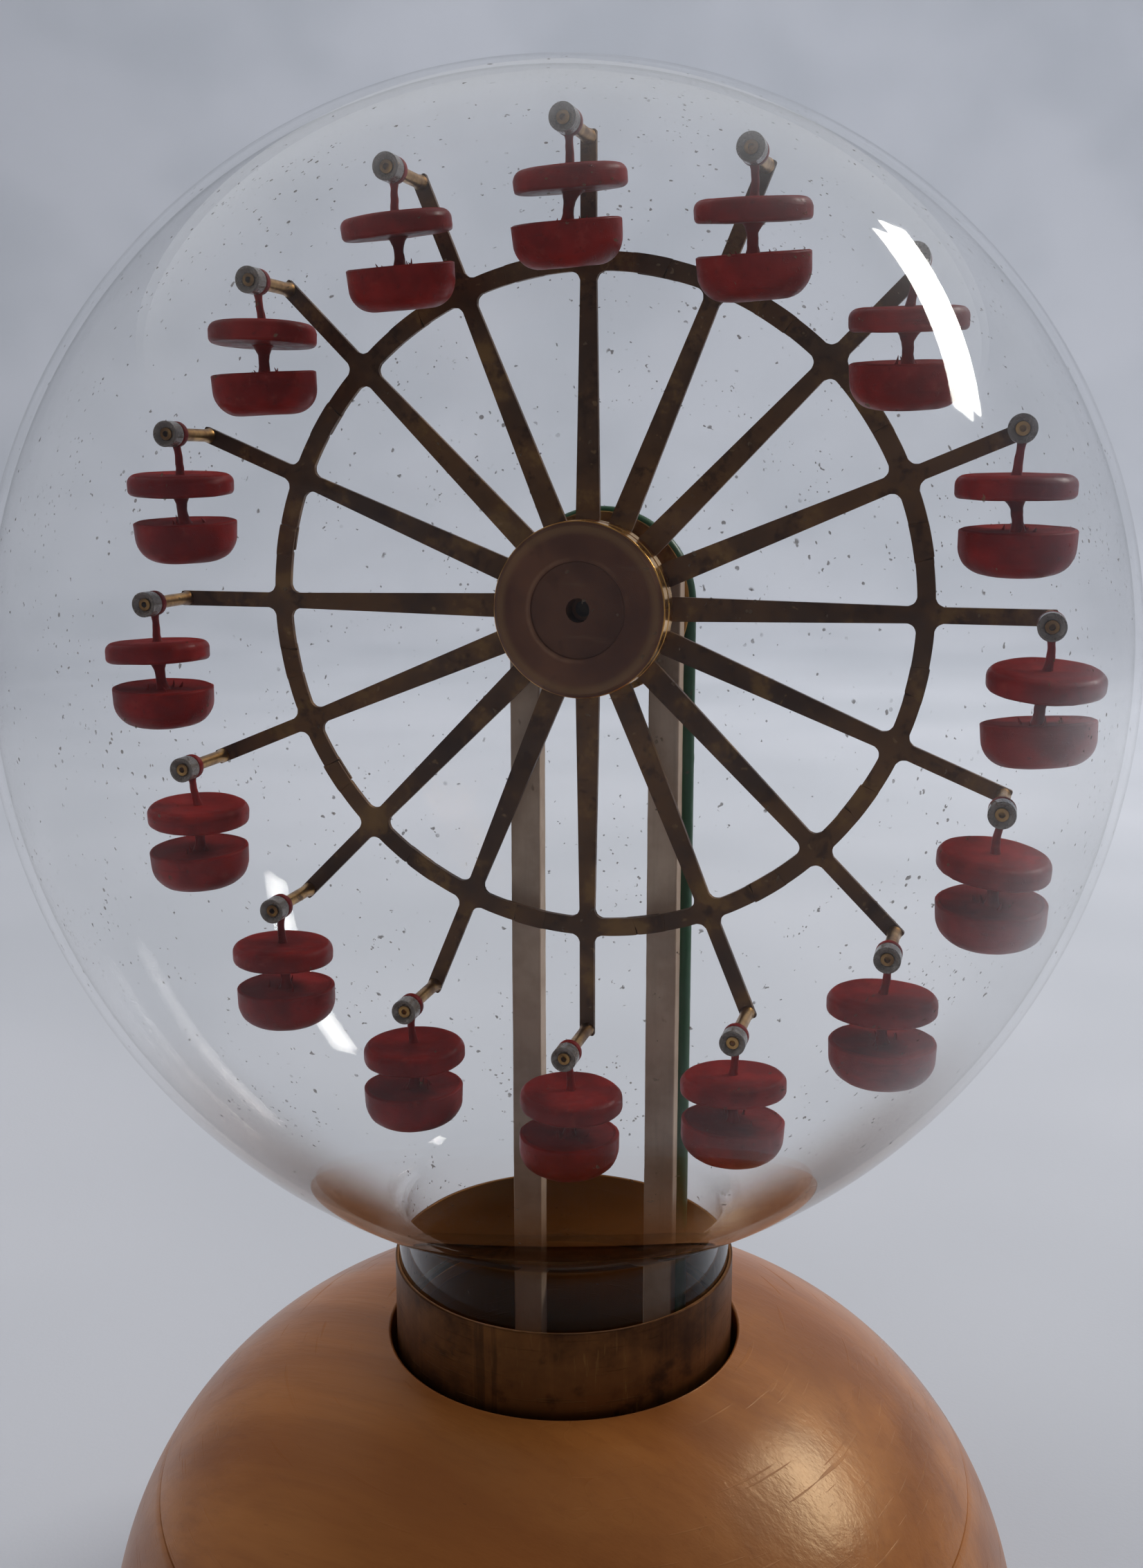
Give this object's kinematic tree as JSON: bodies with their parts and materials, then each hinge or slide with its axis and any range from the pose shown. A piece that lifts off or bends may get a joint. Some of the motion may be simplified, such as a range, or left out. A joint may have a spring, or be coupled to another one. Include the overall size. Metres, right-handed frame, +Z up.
{
  "type": "ferris wheel in a glass globe",
  "caption": "Hand-made brass Ferris wheel with hanging red gondolas inside a clear glass globe on a turned wooden base, turned by a round belt.",
  "frame": {"origin": "middle of the flat underside of the wooden base, on the axis of the globe", "axes": "+Z up along the globe's axis; the wheel faces -Y, its axle lies along Y; +X to the right seen from the front"},
  "size_m": [0.2, 0.2, 0.318],
  "materials": {
    "glass": "clear blown glass",
    "collar_brass": "aged brass tube, scratched",
    "gasket": "thin rubber ring",
    "lacquered_wood": "turned pale hardwood under satin lacquer",
    "plywood": "plywood",
    "cover_board": "black plastic sheet",
    "dark_brass": "brown patinated sheet brass",
    "bright_brass": "bright brass",
    "clear_cap": "clear grey tube",
    "red_resin": "oxblood red, semi-gloss",
    "steel": "bright steel",
    "painted_post": "cream painted hardwood",
    "green_belt": "green round belt",
    "motor_metal": "plated steel",
    "black_plastic": "black moulding",
    "cell_wrap": "plain wrapped cells"
  },
  "bodies": {
    "base": {"base_bowl": "lacquered_wood", "base_lid": "lacquered_wood", "deck": "plywood", "bottom_cover": "cover_board", "brass_collar": "collar_brass", "neck_gasket": "gasket", "glass_globe": "glass", "post_left": "painted_post", "post_right": "painted_post", "tower_foot": "painted_post", "bearing_block": "painted_post", "axle_bush": "bright_brass", "drive_belt": "green_belt", "gear_motor": "motor_metal", "motor_bracket": "motor_metal", "battery_box": "black_plastic", "battery_cells": "cell_wrap", "switch_case": "black_plastic", "screws": "steel"},
    "wheel": {"hub_drum": "dark_brass", "hub_plate": "dark_brass", "spoke_01": "dark_brass", "spoke_02": "dark_brass", "spoke_03": "dark_brass", "spoke_04": "dark_brass", "spoke_05": "dark_brass", "spoke_06": "dark_brass", "spoke_07": "dark_brass", "spoke_08": "dark_brass", "spoke_09": "dark_brass", "spoke_10": "dark_brass", "spoke_11": "dark_brass", "spoke_12": "dark_brass", "spoke_13": "dark_brass", "spoke_14": "dark_brass", "spoke_15": "dark_brass", "spoke_16": "dark_brass", "hanger_pins": "bright_brass", "pin_caps": "clear_cap", "axle": "steel", "wheel_pulley": "bright_brass"},
    "drive": {"drive_pulley": "bright_brass", "motor_shaft": "steel"},
    "switch_knob": {"switch_knob": "black_plastic"},
    "gondola_01": {"gondola_01": "red_resin"},
    "gondola_02": {"gondola_02": "red_resin"},
    "gondola_03": {"gondola_03": "red_resin"},
    "gondola_04": {"gondola_04": "red_resin"},
    "gondola_05": {"gondola_05": "red_resin"},
    "gondola_06": {"gondola_06": "red_resin"},
    "gondola_07": {"gondola_07": "red_resin"},
    "gondola_08": {"gondola_08": "red_resin"},
    "gondola_09": {"gondola_09": "red_resin"},
    "gondola_10": {"gondola_10": "red_resin"},
    "gondola_11": {"gondola_11": "red_resin"},
    "gondola_12": {"gondola_12": "red_resin"},
    "gondola_13": {"gondola_13": "red_resin"},
    "gondola_14": {"gondola_14": "red_resin"},
    "gondola_15": {"gondola_15": "red_resin"},
    "gondola_16": {"gondola_16": "red_resin"}
  },
  "joints": [
    {"name": "wheel_spin", "type": "hinge", "parent": "base", "child": "wheel", "pos_m": [0.002, 0.01, 0.226], "axis": [0, 1, 0], "continuous": true},
    {"name": "gondola_01_swing", "type": "hinge", "parent": "wheel", "child": "gondola_01", "pos_m": [0.002, -0.0035, 0.309], "axis": [0, 1, 0], "continuous": true},
    {"name": "gondola_02_swing", "type": "hinge", "parent": "wheel", "child": "gondola_02", "pos_m": [0.03376, -0.0035, 0.30268], "axis": [0, 1, 0], "continuous": true},
    {"name": "gondola_03_swing", "type": "hinge", "parent": "wheel", "child": "gondola_03", "pos_m": [0.06069, -0.0035, 0.28469], "axis": [0, 1, 0], "continuous": true},
    {"name": "gondola_04_swing", "type": "hinge", "parent": "wheel", "child": "gondola_04", "pos_m": [0.07868, -0.0035, 0.25776], "axis": [0, 1, 0], "continuous": true},
    {"name": "gondola_05_swing", "type": "hinge", "parent": "wheel", "child": "gondola_05", "pos_m": [0.085, -0.0035, 0.226], "axis": [0, 1, 0], "continuous": true},
    {"name": "gondola_06_swing", "type": "hinge", "parent": "wheel", "child": "gondola_06", "pos_m": [0.07868, -0.0035, 0.19424], "axis": [0, 1, 0], "continuous": true},
    {"name": "gondola_07_swing", "type": "hinge", "parent": "wheel", "child": "gondola_07", "pos_m": [0.06069, -0.0035, 0.16731], "axis": [0, 1, 0], "continuous": true},
    {"name": "gondola_08_swing", "type": "hinge", "parent": "wheel", "child": "gondola_08", "pos_m": [0.03376, -0.0035, 0.14932], "axis": [0, 1, 0], "continuous": true},
    {"name": "gondola_09_swing", "type": "hinge", "parent": "wheel", "child": "gondola_09", "pos_m": [0.002, -0.0035, 0.143], "axis": [0, 1, 0], "continuous": true},
    {"name": "gondola_10_swing", "type": "hinge", "parent": "wheel", "child": "gondola_10", "pos_m": [-0.02976, -0.0035, 0.14932], "axis": [0, 1, 0], "continuous": true},
    {"name": "gondola_11_swing", "type": "hinge", "parent": "wheel", "child": "gondola_11", "pos_m": [-0.05669, -0.0035, 0.16731], "axis": [0, 1, 0], "continuous": true},
    {"name": "gondola_12_swing", "type": "hinge", "parent": "wheel", "child": "gondola_12", "pos_m": [-0.07468, -0.0035, 0.19424], "axis": [0, 1, 0], "continuous": true},
    {"name": "gondola_13_swing", "type": "hinge", "parent": "wheel", "child": "gondola_13", "pos_m": [-0.081, -0.0035, 0.226], "axis": [0, 1, 0], "continuous": true},
    {"name": "gondola_14_swing", "type": "hinge", "parent": "wheel", "child": "gondola_14", "pos_m": [-0.07468, -0.0035, 0.25776], "axis": [0, 1, 0], "continuous": true},
    {"name": "gondola_15_swing", "type": "hinge", "parent": "wheel", "child": "gondola_15", "pos_m": [-0.05669, -0.0035, 0.28469], "axis": [0, 1, 0], "continuous": true},
    {"name": "gondola_16_swing", "type": "hinge", "parent": "wheel", "child": "gondola_16", "pos_m": [-0.02976, -0.0035, 0.30268], "axis": [0, 1, 0], "continuous": true},
    {"name": "drive_pulley_spin", "type": "hinge", "parent": "base", "child": "drive", "pos_m": [0.002, 0.0223, 0.03], "axis": [0, 1, 0], "continuous": true},
    {"name": "switch_slide", "type": "slide", "parent": "base", "child": "switch_knob", "axis": [1, 0, 0], "range_m": [0, 0.003]}
  ],
  "couplings": [
    {"joint": "gondola_01_swing", "follows": "wheel_spin", "ratio": -1},
    {"joint": "gondola_02_swing", "follows": "wheel_spin", "ratio": -1},
    {"joint": "gondola_03_swing", "follows": "wheel_spin", "ratio": -1},
    {"joint": "gondola_04_swing", "follows": "wheel_spin", "ratio": -1},
    {"joint": "gondola_05_swing", "follows": "wheel_spin", "ratio": -1},
    {"joint": "gondola_06_swing", "follows": "wheel_spin", "ratio": -1},
    {"joint": "gondola_07_swing", "follows": "wheel_spin", "ratio": -1},
    {"joint": "gondola_08_swing", "follows": "wheel_spin", "ratio": -1},
    {"joint": "gondola_09_swing", "follows": "wheel_spin", "ratio": -1},
    {"joint": "gondola_10_swing", "follows": "wheel_spin", "ratio": -1},
    {"joint": "gondola_11_swing", "follows": "wheel_spin", "ratio": -1},
    {"joint": "gondola_12_swing", "follows": "wheel_spin", "ratio": -1},
    {"joint": "gondola_13_swing", "follows": "wheel_spin", "ratio": -1},
    {"joint": "gondola_14_swing", "follows": "wheel_spin", "ratio": -1},
    {"joint": "gondola_15_swing", "follows": "wheel_spin", "ratio": -1},
    {"joint": "gondola_16_swing", "follows": "wheel_spin", "ratio": -1},
    {"joint": "drive_pulley_spin", "follows": "wheel_spin", "ratio": 1}
  ]
}
